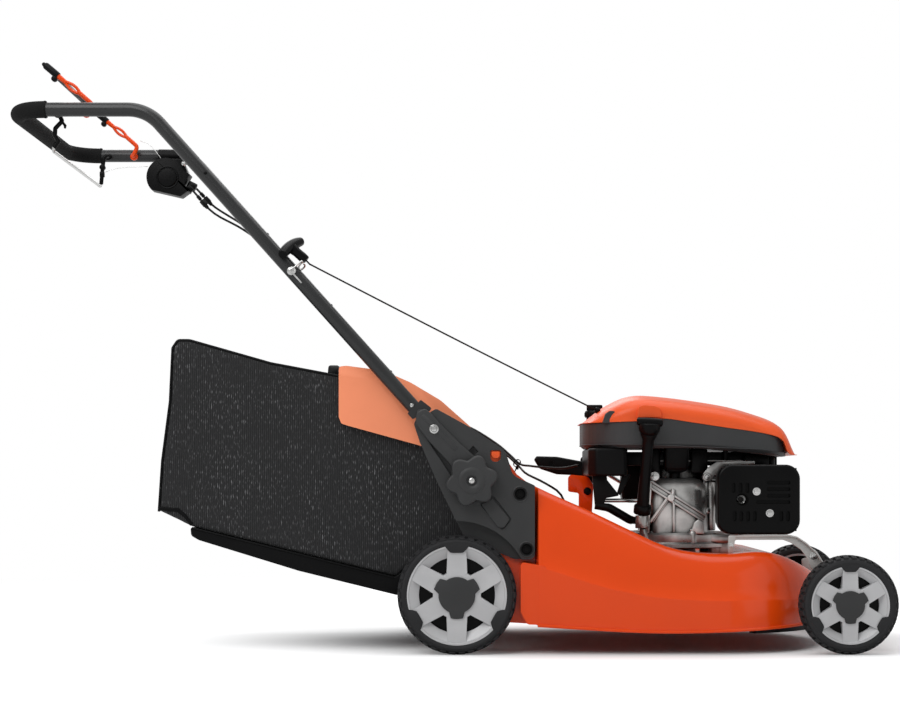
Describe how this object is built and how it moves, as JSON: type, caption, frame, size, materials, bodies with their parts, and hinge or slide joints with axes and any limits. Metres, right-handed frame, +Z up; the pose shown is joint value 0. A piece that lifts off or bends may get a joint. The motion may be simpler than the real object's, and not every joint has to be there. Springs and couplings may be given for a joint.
{
  "type": "petrol lawn mower",
  "caption": "Walk-behind petrol lawn mower with rear grass bag, folding handle, height-adjustable axles, turning blade and hinged rear flap.",
  "frame": {"origin": "middle of the outline on the ground", "axes": "+X forward, +Y to the mower's left, +Z up"},
  "size_m": [1.5865, 0.58, 1.0629],
  "materials": {
    "orange_paint": "gloss orange enamel",
    "orange_plastic": "satin orange plastic",
    "dark_plastic": "fine grained dark grey plastic",
    "grey_plastic": "satin grey plastic",
    "black_plastic": "satin black plastic",
    "black_paint": "satin black powder coat",
    "foam": "matt black foam",
    "tyre": "dark rubber",
    "silver_plastic": "silver grey plastic",
    "cast_aluminium": "die-cast aluminium",
    "steel": "zinc plated steel",
    "fabric": "dark woven mesh"
  },
  "bodies": {
    "chassis": {"deck": "orange_paint", "side_bracket_right": "dark_plastic", "side_bracket_left": "dark_plastic", "crankcase": "cast_aluminium", "cylinder_head": "cast_aluminium", "spark_plug": "black_plastic", "blower_housing": "grey_plastic", "top_cover": "orange_plastic", "fuel_tank": "black_plastic", "oil_filler_tube": "black_plastic", "muffler": "steel", "muffler_guard": "black_paint", "air_filter_box": "black_plastic", "drive_belt": "foam", "height_quadrant": "orange_paint", "front_stay": "steel", "flap_rod": "steel", "starter_rope": "foam", "engine_stop_cable": "black_plastic", "drive_cable": "black_plastic"},
    "rotor": {"crankshaft": "steel", "blade_adapter": "steel", "blade": "steel"},
    "rear_swing": {"rear_axle_carrier": "black_paint", "rear_axle": "steel", "gearbox": "black_plastic"},
    "gearbox_pulley": {"gearbox_pulley": "steel"},
    "front_swing": {"front_axle": "steel"},
    "rear_right_wheel": {"rear_right_tyre": "tyre", "rear_right_rim": "silver_plastic", "rear_right_hub_cap": "grey_plastic"},
    "rear_left_wheel": {"rear_left_tyre": "tyre", "rear_left_rim": "silver_plastic", "rear_left_hub_cap": "grey_plastic"},
    "front_right_wheel": {"front_right_tyre": "tyre", "front_right_rim": "silver_plastic", "front_right_hub_cap": "grey_plastic"},
    "front_left_wheel": {"front_left_tyre": "tyre", "front_left_rim": "silver_plastic", "front_left_hub_cap": "grey_plastic"},
    "height_lever": {"height_lever": "black_plastic"},
    "link_rod": {"link_rod": "steel"},
    "handle": {"handle_tube": "black_paint", "handle_grip": "foam", "handle_arm_right": "dark_plastic", "handle_arm_left": "dark_plastic", "control_box": "black_plastic", "rope_guide": "steel"},
    "star_knob_right": {"star_knob_right": "dark_plastic"},
    "star_knob_left": {"star_knob_left": "dark_plastic"},
    "engine_stop_bail": {"engine_stop_bail": "orange_paint"},
    "drive_bail": {"drive_bail": "steel"},
    "starter_grip": {"starter_grip": "black_plastic"},
    "bag": {"bag": "fabric", "bag_base": "black_plastic", "bag_frame": "black_plastic", "bag_handle": "black_plastic"},
    "rear_flap": {"rear_flap": "orange_plastic"},
    "fuel_cap": {"fuel_cap": "black_plastic"},
    "oil_dipstick": {"oil_dipstick": "black_plastic"}
  },
  "joints": [
    {"name": "rear_height_swing", "type": "hinge", "parent": "chassis", "child": "rear_swing", "pos_m": [0.09075, 0, 0.108], "axis": [0, 1, 0], "range_deg": [-14, 14], "deforming": ["drive_belt"]},
    {"name": "front_height_swing", "type": "hinge", "parent": "chassis", "child": "front_swing", "pos_m": [0.76775, 0, 0.0905], "axis": [0, 1, 0], "range_deg": [-17, 17]},
    {"name": "height_lever_swing", "type": "hinge", "parent": "chassis", "child": "height_lever", "pos_m": [0.26575, 0.13, 0.285], "axis": [0, 1, 0], "range_deg": [-14.2, 14.2]},
    {"name": "link_rod_slide", "type": "slide", "parent": "chassis", "child": "link_rod", "axis": [0.9255, 0, -0.3786], "range_m": [-0.0142, 0.0142]},
    {"name": "rear_right_wheel_spin", "type": "hinge", "parent": "rear_swing", "child": "rear_right_wheel", "pos_m": [0.01575, -0.265, 0.105], "axis": [0, 1, 0], "continuous": true},
    {"name": "rear_left_wheel_spin", "type": "hinge", "parent": "rear_swing", "child": "rear_left_wheel", "pos_m": [0.01575, 0.265, 0.105], "axis": [0, 1, 0], "continuous": true},
    {"name": "front_right_wheel_spin", "type": "hinge", "parent": "front_swing", "child": "front_right_wheel", "pos_m": [0.70575, -0.2675, 0.0875], "axis": [0, 1, 0], "continuous": true},
    {"name": "front_left_wheel_spin", "type": "hinge", "parent": "front_swing", "child": "front_left_wheel", "pos_m": [0.70575, 0.2675, 0.0875], "axis": [0, 1, 0], "continuous": true},
    {"name": "rotor_spin", "type": "hinge", "parent": "chassis", "child": "rotor", "pos_m": [0.42075, 0, 0.2], "axis": [0, 0, 1], "continuous": true},
    {"name": "gearbox_pulley_spin", "type": "hinge", "parent": "rear_swing", "child": "gearbox_pulley", "pos_m": [0.01575, 0, 0.135], "axis": [0, 0, 1], "continuous": true},
    {"name": "handle_fold", "type": "hinge", "parent": "chassis", "child": "handle", "pos_m": [0.04175, 0, 0.306], "axis": [0, 1, 0], "range_deg": [0, 112], "deforming": ["starter_rope", "engine_stop_cable", "drive_cable"]},
    {"name": "star_knob_right_turn", "type": "hinge", "parent": "chassis", "child": "star_knob_right", "pos_m": [0.04175, -0.28, 0.306], "axis": [0, -1, 0], "range_deg": [0, 720]},
    {"name": "star_knob_left_turn", "type": "hinge", "parent": "chassis", "child": "star_knob_left", "pos_m": [0.04175, 0.28, 0.306], "axis": [0, 1, 0], "range_deg": [0, 720]},
    {"name": "engine_stop_bail_swing", "type": "hinge", "parent": "handle", "child": "engine_stop_bail", "pos_m": [-0.64825, 0, 0.963], "axis": [0, -1, 0], "range_deg": [0, 36], "stiffness_Nm_per_rad": 0.5, "springref_deg": -34.38},
    {"name": "drive_bail_swing", "type": "hinge", "parent": "handle", "child": "drive_bail", "pos_m": [-0.70025, 0, 0.962], "axis": [0, 1, 0], "range_deg": [0, 60], "stiffness_Nm_per_rad": 0.1, "springref_deg": -28.65},
    {"name": "starter_pull", "type": "slide", "parent": "handle", "child": "starter_grip", "axis": [-0.667, 0, 0.745], "range_m": [0, 0.35], "stiffness_N_per_m": 20, "springref_m": -0.3},
    {"name": "bag_lift_off", "type": "slide", "parent": "chassis", "child": "bag", "axis": [-0.9806, 0, 0.1959], "range_m": [0, 0.45]},
    {"name": "rear_flap_swing", "type": "hinge", "parent": "chassis", "child": "rear_flap", "pos_m": [0.04575, 0, 0.374], "axis": [0, 1, 0], "range_deg": [0, 28], "stiffness_Nm_per_rad": 1, "springref_deg": -34.38},
    {"name": "fuel_cap_turn", "type": "hinge", "parent": "chassis", "child": "fuel_cap", "pos_m": [0.27775, 0.075, 0.4283], "axis": [0, 0, 1], "range_deg": [0, 90]},
    {"name": "dipstick_pull", "type": "slide", "parent": "chassis", "child": "oil_dipstick", "axis": [0.0785, -0.2877, 0.9545], "range_m": [0, 0.15]}
  ],
  "couplings": [
    {"joint": "front_height_swing", "follows": "rear_height_swing", "ratio": 1.2097},
    {"joint": "height_lever_swing", "follows": "rear_height_swing", "ratio": 0.9977},
    {"joint": "link_rod_slide", "follows": "rear_height_swing", "m_per_rad": 0.05725},
    {"joint": "gearbox_pulley_spin", "follows": "rotor_spin", "ratio": 0.8333}
  ]
}
